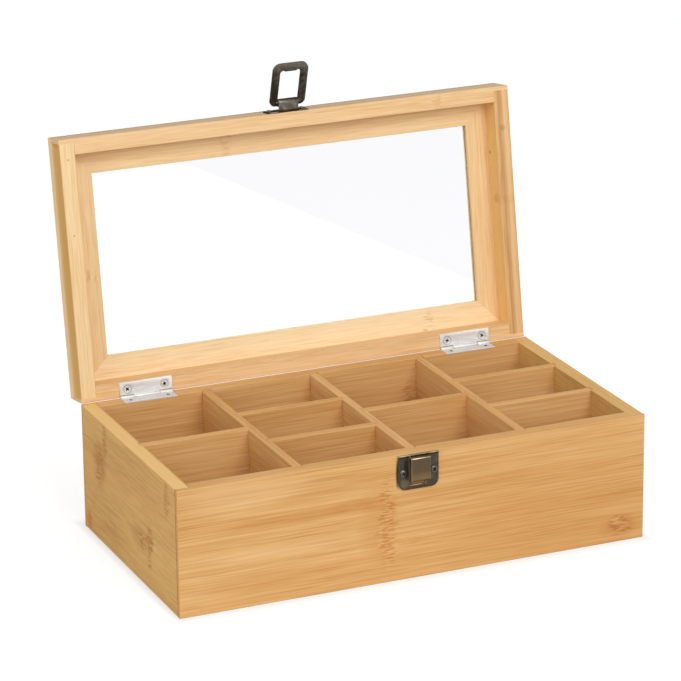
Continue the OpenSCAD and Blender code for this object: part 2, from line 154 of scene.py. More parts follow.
class Tree:
    """A shader or geometry node tree that is built in code."""

    def __init__(self, nodes: bpy.types.NodeTree) -> None:
        """Wraps an empty node tree."""
        self.nodes = nodes

    def add(self, kind: str, sockets: dict | None = None, out: int = 0, stops: tuple = (),
            **settings: object) -> Value:
        """Adds a node.

        Args:
            kind: Type name of the node.
            sockets: Its input sockets by name or number, as a Value, a list of Values, a number
                or a tuple.
            out: Output socket that is returned.
            stops: Places and colours of a colour ramp.
            **settings: Its settings, which are set before its sockets.

        Returns:
            The chosen output, or the node's first input where it has no output.
        """
        node = self.nodes.nodes.new(kind)
        for name, setting in settings.items():
            setattr(node, name, setting)
        for i, (place, colour) in enumerate(stops):
            elements = node.color_ramp.elements
            element = elements[i] if i < len(elements) else elements.new(place)
            element.position = place
            element.color = (*colour, 1)
        for name, given in (sockets or {}).items():
            socket = node.inputs[name]
            if isinstance(given, Value):
                self.nodes.links.new(given.socket, socket)
            elif isinstance(given, list):
                for one in given:
                    self.nodes.links.new(one.socket, socket)
            elif isinstance(given, tuple) and len(given) == 3 and socket.type == "RGBA":
                socket.default_value = (*given, 1)
            else:
                socket.default_value = given
        return Value(self, node.outputs[out] if node.outputs else node.inputs[0])

    def mix(self, factor: object, first: object, second: object) -> Value:
        """Mixes two colours.

        Args:
            factor: Share of the second colour.
            first: First colour.
            second: Second colour.

        Returns:
            The mixed colour.
        """
        return self.add("ShaderNodeMix", {0: factor, 6: first, 7: second}, 2, data_type="RGBA")

    def noise(self, point: Value, scale: Triple, detail: float = 2.0, twist: float = 0.0) -> Value:
        """Noise that is stretched along the axes.

        Args:
            point: Point that the noise is read at, in metres.
            scale: Waves per metre along each axis.
            detail: Finer layers of noise.
            twist: How far the noise is pushed by itself.

        Returns:
            Noise between about 0 and 1, mostly near 0.5.
        """
        stretched = self.add("ShaderNodeVectorMath", {0: point, 1: scale}, operation="MULTIPLY")
        sockets = {"Vector": stretched, "Scale": 1.0, "Detail": detail, "Distortion": twist}
        return self.add("ShaderNodeTexNoise", sockets)

    def coordinates(self) -> tuple[Value, Value]:
        """A point in the object's own coordinates, and the direction that the surface faces there."""
        outputs = self.add("ShaderNodeTexCoord").socket.node.outputs
        return Value(self, outputs["Object"]), Value(self, outputs["Normal"])

    def axes(self, point: Value) -> list[Value]:
        """The three coordinates of a point."""
        split = self.add("ShaderNodeSeparateXYZ", {0: point}).socket.node
        return [Value(self, output) for output in split.outputs]

    def shader(self, **sockets: object) -> Value:
        """Adds a Principled shader, its sockets given with _ for a space."""
        named = {name.replace("_", " "): given for name, given in sockets.items()}
        return self.add("ShaderNodeBsdfPrincipled", named)


def new_material(name: str) -> tuple[Material, Tree]:
    """Makes a material whose node tree is empty.

    Args:
        name: Name of the material.

    Returns:
        The material and its tree.
    """
    material = bpy.data.materials.new(name)
    material.use_nodes = True
    material.node_tree.nodes.clear()
    return material, Tree(material.node_tree)


def show(tree: Tree, surface: Value) -> None:
    """Sends a shader to the tree's output."""
    tree.add("ShaderNodeOutputMaterial", {"Surface": surface})


# ---- Finishes ----


class Grain(Enum):
    """How a board lies: the rows are the directions along the grain, across it and through it."""

    WALL_ALONG_X = ((1, 0, 0), (0, 0, 1), (0, -1, 0))
    WALL_ALONG_Y = ((0, 1, 0), (0, 0, 1), (1, 0, 0))
    FLAT_ALONG_X = ((1, 0, 0), (0, 1, 0), (0, 0, 1))
    FLAT_ALONG_Y = ((0, 1, 0), (-1, 0, 0), (0, 0, 1))


class Tone(Enum):
    """Shades of bamboo: dark fibres, the common ground, and pale bands."""

    HONEY = (paint(196, 138, 76), paint(221, 173, 112), paint(235, 195, 138))
    OLIVE = (paint(186, 136, 72), paint(214, 170, 101), paint(228, 188, 120))
    PALE = (paint(218, 168, 110), paint(236, 197, 146), paint(245, 213, 170))
    CREAM = (paint(226, 180, 124), paint(240, 207, 157), paint(248, 222, 180))
    # Painted light: a paler tone for the lid's back frame board, which lies in the shade of the box.
    LIGHT = (paint(236, 196, 144), paint(250, 223, 178), paint(254, 234, 200))
    SHADED = (paint(196, 142, 84), paint(220, 174, 120), paint(232, 191, 140))


UMBER = paint(138, 80, 30)
RUST = paint(190, 118, 52)
BROWN = paint(162, 100, 42)
# Colour of the painted light on the top faces of the side walls.
TOP_LIGHT = paint(255, 213, 145)
ROSE = paint(178, 124, 92)
MOSS = paint(164, 136, 64)
# Colour of the painted light on the inner face of the lid's right rim.
INNER_RIM_LIGHT = paint(255, 214, 136)
PALE_BAND = paint(244, 208, 156)
# Colour of the painted shadow beside the catch plate.
SHADOW_LINE = paint(84, 48, 20)
KNOT = paint(158, 94, 28)
GREY = paint(158, 138, 120)
AMBER = paint(205, 150, 66)
WARM = paint(222, 160, 100)


@dataclass(frozen=True)
class Mark:
    """A place where the cane had a joint, a dark fibre or discolouring, or a patch of painted shade or
    painted light.

    Attributes:
        along: Place along the grain from the middle of the board, in mm.
        across: Place across the grain from the middle of the board, in mm.
        reach: Half its size along the grain, in mm.
        spread: Half its size across the grain, in mm.
        colour: Colour that it lays on the surface.
        depth: How strong the stain is.
        flecks: Share of it that is jagged dashes of single fibres and not an even patch.
        through: Place through the board from its middle, in mm.
        deep: Half its size through the board, in mm.
        ragged: How ragged an even patch is along the grain.
    """

    along: float
    across: float
    reach: float
    spread: float
    colour: Colour
    depth: float
    flecks: float = 0.0
    through: float = 0.0
    deep: float = 50.0
    ragged: float = 0.6

    def reaches(self, place: list[Value], rough: Value) -> tuple[Value, Value]:
        """Distances from its middle, as shares of its size.

        Args:
            place: Coordinates along, across and through.
            rough: Noise about 0 that makes its ends ragged.

        Returns:
            The distance along, and the square of the distance across and through.
        """
        along, across, through = place
        x = (along - self.along * MM) / (self.reach * MM)
        y = (across - self.across * MM) / (self.spread * MM)
        z = (through - self.through * MM) / (self.deep * MM)
        return x + rough * self.ragged, y * y + z * z

    def even(self, place: list[Value], rough: Value) -> Value:
        """Strength of an even patch, 1 at its middle and 0 at its edge."""
        x, far = self.reaches(place, rough)
        return (x * x + far).ramp(0.0, 1.0, 1.0, 0.0)


@dataclass(frozen=True)
class BambooFinish:
    """Oiled bamboo board.

    Attributes:
        name: Name of the material.
        grain: How the board lies in the box or in the closed lid.
        tone: Shade of the wood.
        seed: Number that sets this board's own pattern.
        marks: Joints, stains, painted shade and painted light of this board.
        zones: Strength of the broad zones of one shade.
        bands: Strength of the pale and dark bands.
        lines: Strength of the fibre lines.
        length: Length of the fibres, as a share of long ones.
    """

    name: str
    grain: Grain
    tone: Tone = Tone.HONEY
    seed: int = 0
    marks: tuple[Mark, ...] = ()
    zones: float = 0.62
    bands: float = 0.33
    lines: float = 0.44
    length: float = 1.0

    def board_point(self, tree: Tree, turned: Matrix, middle: Vector) -> tuple[Value, Value]:
        """Coordinates along, across and through the board.

        Args:
            tree: Tree of the material.
            turned: Turn from the closed lid or the box to how the board lies at rest.
            middle: Middle of the board at rest.

        Returns:
            The point from the middle of the board, in metres, and the surface normal.
        """
        to_board = Matrix(self.grain.value) @ turned.to_3x3().inverted()
        turn = to_board.to_euler("XYZ")
        point, normal = tree.coordinates()
        place = {"Vector": point, "Location": tuple(-(to_board @ middle)), "Rotation": tuple(turn)}
        lean = {"Vector": normal, "Rotation": tuple(turn)}
        return (tree.add("ShaderNodeMapping", place, vector_type="POINT"),
                tree.add("ShaderNodeMapping", lean, vector_type="NORMAL"))

    def stained(self, tree: Tree, colour: Value, mark: Mark, place: list[Value],
                ragged: Value, flecks: Value) -> Value:
        """Lays one mark over the wood.

        Args:
            tree: Tree of the material.
            colour: Colour of the wood so far.
            mark: The mark.
            place: Coordinates along, across and through the board.
            ragged: Noise that makes its outline ragged.
            flecks: Noise of the jagged flecks.

        Returns:
            The colour with the mark.
        """
        even_share = mark.even(place, ragged)
        colour = tree.mix(even_share * mark.depth * (1 - mark.flecks), colour, mark.colour)
        if not mark.flecks:
            return colour
        x, far = mark.reaches(place, ragged)
        x = x * 1.3 + ragged * 2.0
        core = (x * x + far).ramp(0.2, 1.0, 1.0, 0.0) * mark.flecks
        colour = tree.mix(core * flecks.ramp(0.5, 0.36) * 0.45, colour, self.tone.value[2])
        return tree.mix(core * mark.depth * flecks.ramp(0.46, 0.64), colour, mark.colour)

    def material(self, turned: Matrix, middle: Vector) -> Material:
        """Makes the material.

        Args:
            turned: Turn from the closed lid or the box to how the board lies at rest.
            middle: Middle of the board at rest.

        Returns:
            The material.
        """
        material, tree = new_material(self.name)
        point, normal = self.board_point(tree, turned, middle)
        seeded = tree.add("ShaderNodeVectorMath",
                          {0: point, 1: (self.seed * 1.37, self.seed * 0.71, self.seed * 0.53)})
        drift = tree.noise(seeded, (4, 12, 12), 1) - 0.5
        shift = tree.add("ShaderNodeCombineXYZ", {1: drift * 0.0012, 2: drift * 0.001})
        bent = tree.add("ShaderNodeVectorMath", {0: seeded, 1: shift})

        share = 1 / self.length
        zone = tree.noise(seeded, (3 * share, 26, 26), 1) - 0.5
        band = tree.noise(bent, (3 * share, 72, 72), 1) - 0.5
        line = tree.noise(bent, (3.5 * share, 540, 540), 2) - 0.5
        fibre = tree.noise(bent, (24 * share, 1300, 1300), 2)
        vein = tree.noise(bent, (12 * share, 760, 760), 1).ramp(0.56, 0.76)
        ground = 0.5 + zone * self.zones + band * self.bands + line * self.lines + (fibre - 0.5) * 0.9
        stops = tuple(zip((0.1, 0.52, 0.92), self.tone.value))
        colour = tree.add("ShaderNodeValToRGB", {0: ground}, stops=stops)
        warm = tree.noise(seeded, (7, 30, 30), 2).ramp(0.5, 0.75)
        colour = tree.mix(warm * (0.35 * self.zones), colour, WARM)
        colour = tree.mix(vein * (0.24 * self.length), colour, self.tone.value[0])

        place = tree.axes(point)
        ragged = tree.noise(seeded, (16, 330, 330), 2) - 0.5
        flecks = tree.noise(seeded, (150, 820, 820), 1, 0.5)
        for mark in self.marks:
            colour = self.stained(tree, colour, mark, place, ragged, flecks)

        grain_share, _, _ = tree.axes(normal)
        end = grain_share.apply("ABSOLUTE").ramp(0.6, 0.9)
        pores = tree.noise(seeded, (900, 1500, 1500), 2).ramp(0.35, 0.65)
        end_colour = tree.mix(pores, self.tone.value[0], self.tone.value[1])
        colour = tree.mix(end * 0.65, colour, end_colour)

        rough = 0.58 + (fibre - 0.5) * 0.12 + vein * 0.08 + end * 0.12
        height = fibre * 0.5 + line * 0.8 - vein * 0.3
        bump = tree.add("ShaderNodeBump", {"Height": height, "Distance": 0.00012, "Strength": 0.55})
        show(tree, tree.shader(Base_Color=colour, Roughness=rough, Specular_IOR_Level=0.1, Normal=bump))
        return material


# Colour of the painted shade on metal faces that look up.
UP_SHADE_COLOUR = paint(52, 40, 26)


@dataclass(frozen=True)
class MetalFinish:
    """Plated or blackened sheet metal.

    Attributes:
        name: Name of the material.
        colour: Main colour.
        worn: Colour where the plating is thin or rubbed.
        roughness: Main roughness.
        patches: Waves per metre of the worn patches.
        wear: Share of the surface that is worn.
        brushed: Waves per metre along each axis of the brushing.
        metallic: Metallic share.
        rubbed: Colour where the proudest part is rubbed.
        proud: Distance in front of the middle of the box where it is rubbed through, in mm, or 0.
        dulled: How far its faces that look up are darkened, as painted shade.
        rim_tint: Colour of its reflections at a glancing angle.
        marks: Darker and paler patches, painted highlights, painted shade and painted shadows, with x,
            height and depth for along, across and through.
    """

    name: str
    colour: Colour
    worn: Colour
    roughness: float = 0.35
    patches: float = 160
    wear: float = 0.4
    brushed: Triple = (300, 3000, 3000)
    metallic: float = 1.0
    rubbed: Colour = paint(150, 120, 80)
    proud: float = 0.0
    dulled: float = 0.0
    rim_tint: Colour = (1.0, 1.0, 1.0)
    marks: tuple[Mark, ...] = ()

    def material(self) -> Material:
        """Makes the material."""
        material, tree = new_material(self.name)
        point, normal = tree.coordinates()
        x, y, z = tree.axes(point)
        patch = tree.noise(point, (self.patches,) * 3, 3)
        fine = tree.noise(point, (self.patches * 6,) * 3, 2)
        brush = tree.noise(point, self.brushed, 2)
        worn = (patch * 0.75 + fine * 0.25).ramp(0.62 - self.wear * 0.3, 0.78 - self.wear * 0.3)
        colour = tree.mix(worn, self.colour, self.worn)
        streak = brush.ramp(0.3, 0.7) * 0.25
        colour = tree.mix(streak, colour, self.worn)
        if self.proud:
            reach = (y * -1 + (patch - 0.5) * 0.002).ramp((self.proud - 1) * MM, self.proud * MM)
            colour = tree.mix(reach * 0.92, colour, self.rubbed)
            colour = tree.mix(streak, colour, self.worn)
        # Painted shade on the faces that look up.
        if self.dulled:
            _, _, up = tree.axes(normal)
            colour = tree.mix(up.ramp(0.75, 0.95) * self.dulled, colour, UP_SHADE_COLOUR)
        for mark in self.marks:
            colour = tree.mix(mark.even([x, z, y], patch - 0.5) * mark.depth, colour, mark.colour)
        grime = (fine * 0.6 + brush * 0.4).ramp(0.48, 0.66) * 0.3
        colour = tree.mix(grime, colour, self.colour)
        rough = self.roughness + (brush - 0.5) * 0.2 + (patch - 0.5) * 0.18
        height = brush * 0.6 + fine * 0.5
        bump = tree.add("ShaderNodeBump", {"Height": height, "Distance": 0.00005, "Strength": 0.4})
        show(tree, tree.shader(Base_Color=colour, Metallic=self.metallic, Roughness=rough,
                               Specular_Tint=self.rim_tint, Normal=bump))
        return material


@dataclass(frozen=True)
class PaneFinish:
    """Clear glass with the faintest smears and a painted reflection on its upper right part, which lets
    the lamps through.

    Attributes:
        name: Name of the material.
        tint: Colour of the clear glass.
        film_tint: Colour of the glass where a painted reflection tints its upper right part.
        film_slope: How steeply the edge of that painted reflection falls to the right, in m per m.
        film_height: Height of that edge at the middle of the box, in m.
        roughness: Roughness between the smears.
    """

    name: str = "clear_pane"
    tint: Colour = (0.985, 0.993, 0.992)
    film_tint: Colour = (0.925, 0.926, 0.94)
    film_slope: float = 0.517
    film_height: float = 0.1967
    roughness: float = 0.012

    def material(self) -> Material:
        """Makes the material."""
        material, tree = new_material(self.name)
        point, _ = tree.coordinates()
        smear = tree.noise(point, (9, 9, 9), 3).ramp(0.5, 0.8)
        x, _, z = tree.axes(point)
        # Painted reflection: a faint darker, bluer tint over the upper right of the pane, up to a
        # sloping edge.
        glare = (z + x * self.film_slope - self.film_height).ramp(0.0, 0.001)
        glass = tree.shader(Base_Color=tree.mix(glare, self.tint, self.film_tint),
                            Roughness=self.roughness + smear * 0.03,
                            IOR=1.47, Transmission_Weight=1.0)
        shadow = Value(tree, tree.add("ShaderNodeLightPath").socket.node.outputs["Is Shadow Ray"])
        clear = tree.add("ShaderNodeBsdfTransparent", {"Color": (0.94, 0.955, 0.955)})
        show(tree, tree.add("ShaderNodeMixShader", {0: shadow, 1: glass, 2: clear}))
        return material


# Colour of the dark rings round the lid leaf's screw heads and of the painted shadow along the hinge
# barrels.
RING_AND_BARREL_SHADOW = paint(96, 90, 84)
STEEL = MetalFinish(
    "satin_nickel", paint(224, 222, 219), paint(208, 205, 200), 0.5, 240, 0.35, (260, 2600, 2600), 0.4,
    # Dark rings round the screw heads of the lid leaf.
    marks=tuple(Mark(side * 120 + step * 13.5, 93.3, 4.0, 4.0, RING_AND_BARREL_SHADOW, 0.85, 0.0, 92, 6, 0)
                for side in (-1, 1) for step in (-1, 1))
    # Painted shadow: a dark line under each leaf along the barrel.
    + tuple(Mark(side * 120, 88.7, 60, 0.7, RING_AND_BARREL_SHADOW, 0.6, 0.0, 91.5, 1.5, 0) for side in (-1, 1)),
)
STEEL_EDGE = MetalFinish("nickel_edge", paint(226, 224, 219), paint(190, 184, 172), 0.42, 300, 0.3,
                         metallic=0.6)
DULL_RIM = (0.2, 0.18, 0.15)
# Colour of the painted highlights on the catch plate's edges.
BRASS_HIGHLIGHT = paint(236, 214, 178)
# Marks of the catch plate: a darker top and paler foot on the tongue's face, painted highlights on its
# edges, painted shade and shadow round the tongue, painted light on its left side, and darker and paler
# patches.
CATCH_MARKS_AND_PAINTED_LIGHT = (
    Mark(0.6, 84, 40, 15, paint(72, 64, 52), 0.55, 0.0, -95.2, 1.4, 0),
    Mark(0.6, 69.0, 40, 7, paint(138, 110, 78), 0.4, 0.0, -95.2, 1.4, 0),
    # Painted highlight along the tongue's top edge.
    Mark(0.6, 85.4, 14, 0.6, BRASS_HIGHLIGHT, 0.7, 0.0, -95.3, 0.8, 0.8),
    # Painted shade along the top of the tongue.
    Mark(0.6, 86.5, 40, 1.8, paint(48, 34, 20), 0.95, 0.0, -92.0, 2.7, 0),
    # Painted light on the tongue's left side.
    Mark(-6.2, 77, 0.6, 16, paint(150, 122, 78), 0.85, 0.0, -93.8, 2.4, 0),
    # Painted shadow on the plate beside the tongue's left side.
    Mark(-8.4, 77, 2.4, 12, paint(34, 28, 22), 0.9, 0.0, -91.2, 1.2, 0),
    # Painted highlights along the top edges of the wings.
    Mark(-10.6, 87.0, 6, 0.8, BRASS_HIGHLIGHT, 0.75, 0.0, -91.2, 1.2, 0.4),
    Mark(11.4, 87.0, 5, 0.8, BRASS_HIGHLIGHT, 0.75, 0.0, -91.2, 1.2, 0.4),
    Mark(0.6, 63.0, 20, 3.2, paint(84, 58, 30), 0.75, 0.0, -91.2, 1.4, 0.4),
    Mark(-9.5, 67.5, 4, 4.5, paint(134, 116, 88), 0.45, 0.0, -91.2, 1.2, 1),
    # Painted highlight along the lower edge of the slot.
    Mark(-1.2, 65.9, 6, 0.5, BRASS_HIGHLIGHT, 0.45, 0.0, -91.2, 1.2, 0.4),
)
GUNMETAL = MetalFinish("gunmetal", paint(62, 62, 60), paint(100, 86, 64), 0.36, 240, 0.4,
                       (2600, 300, 300), 0.85, paint(118, 98, 68), 92.6, 0.0, DULL_RIM, CATCH_MARKS_AND_PAINTED_LIGHT)
# The eased edges are lighter than the faces: wear and painted highlights.
GUNMETAL_EDGE = MetalFinish("gunmetal_edge", paint(206, 190, 164), paint(150, 130, 98), 0.42, 260, 0.3,
                            metallic=0.6)
HEAD = MetalFinish("screw_head", paint(104, 98, 94), paint(66, 60, 54), 0.34, 420, 0.4)
BLACKENED = MetalFinish("blackened_bronze", paint(64, 61, 56), paint(106, 102, 94), 0.36, 210, 0.45,
                        rim_tint=DULL_RIM,
                        # Painted sheen along the bail's top bar.
                        marks=(Mark(0.6, 299.5, 40, 6, paint(132, 126, 118), 0.5, 0.0, 120, 60, 0.5),))
# The eased edges are lighter than the faces: wear and painted highlights.
BLACKENED_EDGE = MetalFinish("blackened_edge", paint(112, 106, 98), paint(70, 64, 56), 0.34, 260, 0.45,
                             rim_tint=DULL_RIM)
# The lid plate's faces that look up are darkened by painted shade.
BRONZED = MetalFinish("bronzed_plate", paint(84, 78, 70), paint(124, 116, 104), 0.42, 260, 0.5,
                      dulled=0.9, rim_tint=DULL_RIM)
# The eased edges are lighter than the faces: wear and painted highlights.
BRONZED_EDGE = MetalFinish("bronzed_edge", paint(120, 112, 100), paint(80, 70, 58), 0.36, 260, 0.45,
                           dulled=0.6, rim_tint=DULL_RIM)
# Painted shade: near-black inside the screws' cross recesses.
RECESS_SHADE = MetalFinish("driver_recess", paint(26, 24, 24), paint(40, 36, 32), 0.6, 300, 0.3, metallic=0.3)


# ---- Meshes ----


def lid_turn(pivot_y: float = 90.0, angle: float = 99.2) -> Matrix:
    """Turn of the open lid about its hinge pins.

    Args:
        pivot_y: Distance of the pins behind the middle of the box, in mm.
        angle: Angle that the lid is opened by, in degrees.

    Returns:
        What moves a point from the closed lid to the open lid.
    """
    pivot = Matrix.Translation(Vector((0, pivot_y, PIN_Z)) * MM)
    return pivot @ Matrix.Rotation(-math.radians(angle), 4, "X") @ pivot.inverted()


CLOSED = Matrix.Identity(4)
OPENED = lid_turn()


def new_object(name: str, data: bpy.types.ID) -> bpy.types.Object:
    """Makes an object in the scene.

    Args:
        name: Name of the object.
        data: Its mesh, lamp or camera.

    Returns:
        The object.
    """
    made = bpy.data.objects.new(name, data)
    bpy.context.scene.collection.objects.link(made)
    return made


def dress(node: str, finish: Material) -> None:
    """Gives a CAD node its finish.

    Args:
        node: Name of the CAD node.
        finish: Material for all its faces.
    """
    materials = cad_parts[node].data.materials
    materials.clear()
    materials.append(finish)
    LOG.info("%s: dressed with %s", node, finish.name)


def place_piece(piece: bpy.types.Object, body: Body, node: str) -> None:
    """Puts a finished piece on its body in place of a CAD node.

    Args:
        piece: The piece, untransformed.
        body: Body that it rides on.
        node: CAD node that it stands for.
    """
    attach(piece, body.value)
    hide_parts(node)
    LOG.info("%s: %d faces for %s", piece.name, len(piece.data.polygons), node)


@dataclass(frozen=True)
class Eased:
    """Machined copy of a metal node whose sharp edges are eased.

    Attributes:
        name: Name of the piece.
        node: CAD node that it stands for.
        width: Width of the eased edge, in mm.
        steps: Faces across an eased edge.
        flat: Angle under which two faces count as one, in degrees.
        sharp: Angle over which an edge is eased, in degrees.
    """

    name: str
    node: str
    width: float = 0.15
    steps: int = 2
    flat: float = 0.5
    sharp: float = 32.0

    def build(self, body: Body, slot: Slot, face: Material, edge: Material) -> None:
        """Makes the piece and puts it on its body.

        Args:
            body: Body that it rides on.
            slot: Material slot of its finish; not used.
            face: Finish of its faces.
            edge: Finish of its eased edges.
        """
        shape = bmesh.new()
        shape.from_mesh(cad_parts[self.node].data)
        bmesh.ops.remove_doubles(shape, verts=shape.verts, dist=WELD)
        bmesh.ops.dissolve_limit(shape, angle_limit=math.radians(self.flat), verts=shape.verts,
                                 edges=shape.edges)
        mesh = bpy.data.meshes.new(self.name)
        shape.to_mesh(mesh)
        shape.free()
        mesh.materials.append(face)
        mesh.materials.append(edge)
        for polygon in mesh.polygons:
            polygon.use_smooth = True
            polygon.material_index = 0
        piece = new_object(self.name, mesh)
        ease = piece.modifiers.new("eased_edges", "BEVEL")
        ease.width = self.width * MM
        ease.segments = self.steps
        ease.limit_method = "ANGLE"
        ease.angle_limit = math.radians(self.sharp)
        ease.harden_normals = True
        ease.material = 1
        place_piece(piece, body, self.node)


@dataclass(frozen=True)
class ScrewShape:
    """Sizes of a cross-head screw, in mm.

    Attributes:
        head: Diameter of the head.
        shank: Diameter of the shank.
        length: Length under the surface that it seats on.
        rise: Height of a domed head over that surface, or 0 for a flat head.
        sink: Depth of a countersunk head under that surface, or 0 for a domed head.
        cross: Length of the cross recess.
        slit: Width of the cross recess.
        recess: Depth of the cross recess.
    """

    head: float
    shank: float = 2.4
    length: float = 10.0
    rise: float = 0.0
    sink: float = 0.0
    cross: float = 3.0
    slit: float = 0.9
    recess: float = 0.9


SCREW_SIZES = tuple(field.name for field in fields(ScrewShape))


@dataclass(frozen=True)
class ScrewSet:
    """Screws of one kind on one body, made by geometry nodes.

    Attributes:
        name: Name of the piece.
        node: CAD node that they stand for.
        shape: Sizes of a screw.
        places: Middle of each head on the surface, in mm, in the box or the closed lid.
        lean: Turn about x of a screw that points down, in degrees.
        turned: Turn from the closed lid or the box to how they lie at rest.
        seed: Seed of the turn that each cross was left at.
    """

    name: str
    node: str
    shape: ScrewShape
    places: tuple[Triple, ...]
    lean: float
    turned: Matrix
    seed: int

    def lathe(self, tree: Tree, size: dict[str, Value]) -> Value:
        """Turns the head, shank and point out of a cylinder.

        Args:
            tree: Geometry tree.
            size: Sizes of the screw, in metres.

        Returns:
            The screw without its recess.
        """
        blank = tree.add("GeometryNodeMeshCylinder",
                         {"Vertices": 36, "Side Segments": 26, "Radius": 1.0, "Depth": 1.0},
                         fill_type="TRIANGLE_FAN")
        x, y, z = tree.axes(tree.add("GeometryNodeInputPosition"))
        down = 0.5 - z
        zones = ((0.0, 0.4), (0.4, 0.5), (0.5, 0.86), (0.86, 1.0))
        dome, under, shaft, point = (down.ramp(low, high, way="LINEAR") for low, high in zones)
        bow = dome * (math.pi / 2)
        shank, head = size["shank"] * 0.5, size["head"] * 0.5
        radius = head * bow.apply("SINE") - (head - shank) * under - shank * 0.84 * point
        taper = shank * 1.2
        height = (size["rise"] * bow.apply("COSINE") - size["sink"] * under
                  - (size["length"] - size["sink"] - taper) * shaft - taper * point)
        moved = tree.add("ShaderNodeCombineXYZ", {0: x * radius, 1: y * radius, 2: height})
        shaped = tree.add("GeometryNodeSetPosition", {"Geometry": blank, "Position": moved})
        return tree.add("GeometryNodeMergeByDistance", {"Geometry": shaped, "Distance": WELD})

    def cutter(self, tree: Tree, size: dict[str, Value], quarter: bool) -> Value:
        """Makes one tapered arm of the driver that cuts the cross.

        Args:
            tree: Geometry tree.
            size: Sizes of the screw, in metres.
            quarter: Whether the arm is turned by a quarter.

        Returns:
            The arm, which stands a little proud of the head.
        """
        block = tree.add("GeometryNodeMeshCube")
        x, y, z = tree.axes(tree.add("GeometryNodeInputPosition"))
        down = 0.5 - z
        arm = x * size["cross"] * (1 - down * 0.5)
        side = y * size["slit"] * (1 - down * 0.35)
        proud = size["recess"] * 0.2
        height = size["rise"] + proud - (size["recess"] + proud) * down
        first, second = (side * -1, arm) if quarter else (arm, side)
        moved = tree.add("ShaderNodeCombineXYZ", {0: first, 1: second, 2: height})
        arm = tree.add("GeometryNodeSetPosition", {"Geometry": block, "Position": moved})
        return tree.add("GeometryNodeSetMaterial", {0: arm, "Material": size["dark"]})

    def build_tree(self) -> bpy.types.NodeTree:
        """Builds the geometry tree that sets a screw on each vertex.

        Returns:
            The tree, with the sizes, lean, seed, the screws' finish and the painted shade of their
            recesses as its inputs.
        """
        group = bpy.data.node_groups.new(self.name, "GeometryNodeTree")
        inputs = [("places", "Geometry"), *((size, "Float") for size in SCREW_SIZES),
                  ("lean", "Vector"), ("seed", "Int"), ("finish", "Material"), ("dark", "Material")]
        for label, kind in inputs:
            group.interface.new_socket(label, in_out="INPUT", socket_type="NodeSocket" + kind)
        group.interface.new_socket("screws", in_out="OUTPUT", socket_type="NodeSocketGeometry")
        tree = Tree(group)
        given = {s.name: Value(tree, s) for s in tree.add("NodeGroupInput").socket.node.outputs}

        cross = [self.cutter(tree, given, quarter) for quarter in (False, True)]
        screw = tree.add("GeometryNodeMeshBoolean", {"Mesh 1": self.lathe(tree, given), "Mesh 2": cross},
                         operation="DIFFERENCE", solver="EXACT")
        soft = tree.add("GeometryNodeInputMeshEdgeAngle").apply("LESS_THAN", math.radians(30))
        screw = tree.add("GeometryNodeSetShadeSmooth", {0: screw, 2: True}, domain="FACE")
        screw = tree.add("GeometryNodeSetShadeSmooth", {0: screw, 2: soft}, domain="EDGE")

        turn = tree.add("FunctionNodeRandomValue", {2: 0.15, 3: 1.4, "Seed": given["seed"]}, 1,
                        data_type="FLOAT")
        spin = tree.add("ShaderNodeCombineXYZ", {2: turn})
        spin = tree.add("FunctionNodeEulerToRotation", {0: spin})
        lean = tree.add("FunctionNodeEulerToRotation", {0: given["lean"]})
        stance = tree.add("FunctionNodeRotateRotation", {0: lean, 1: spin}, rotation_space="LOCAL")
        sown = tree.add("GeometryNodeInstanceOnPoints",
                        {"Points": given["places"], "Instance": screw, "Rotation": stance})
        solid = tree.add("GeometryNodeRealizeInstances", {0: sown})
        cut = tree.add("GeometryNodeMaterialSelection", {"Material": given["dark"]})
        plain = tree.add("FunctionNodeBooleanMath", {0: cut}, operation="NOT")
        dressed = tree.add("GeometryNodeSetMaterial",
                           {0: solid, "Selection": plain, "Material": given["finish"]})
        tree.add("NodeGroupOutput", {0: dressed})
        return group

    def build(self, body: Body, slot: Slot, finish: Material, dark: Material) -> None:
        """Makes the screws as one plain mesh and puts them on their body.

        Args:
            body: Body that they ride on.
            slot: Material slot of their finish; not used.
            finish: Their finish.
            dark: Near-black material that paints shade inside their cross recesses.
        """
        mesh = bpy.data.meshes.new(self.name)
        mesh.from_pydata([self.turned @ (Vector(place) * MM) for place in self.places], [], [])
        piece = new_object(self.name, mesh)
        lean = self.turned.to_3x3() @ Euler((math.radians(self.lean), 0, 0)).to_matrix()
        given = {size: getattr(self.shape, size) * MM for size in SCREW_SIZES}
        given |= {"lean": tuple(lean.to_euler()), "seed": self.seed, "finish": finish, "dark": dark}
        modifier = piece.modifiers.new("screws", "NODES")
        modifier.node_group = self.build_tree()
        for item in modifier.node_group.interface.items_tree:
            if item.name in given:
                modifier[item.identifier] = given[item.name]
        evaluated = piece.evaluated_get(bpy.context.evaluated_depsgraph_get())
        piece.data = bpy.data.meshes.new_from_object(evaluated)
        piece.modifiers.clear()
        place_piece(piece, body, self.node)


# ---- Sub-assemblies ----


# How the boards lie, their tone, the length of their fibres, and their nodes.
BOX_BOARDS = (
    (Grain.WALL_ALONG_X, Tone.HONEY, 1.0, ("front_panel", "back_panel")),
    (Grain.WALL_ALONG_Y, Tone.OLIVE, 0.4, ("left_panel", "right_panel")),
    (Grain.FLAT_ALONG_X, Tone.HONEY, 1.0, ("bottom_panel",)),
    (Grain.WALL_ALONG_Y, Tone.HONEY, 1.0,
     ("left_long_divider", "middle_long_divider", "right_long_divider")),
    (Grain.WALL_ALONG_X, Tone.HONEY, 1.0,
     ("first_column_divider", "second_column_front_divider", "second_column_back_divider",
      "third_column_divider", "fourth_column_front_divider", "fourth_column_back_divider")),
)
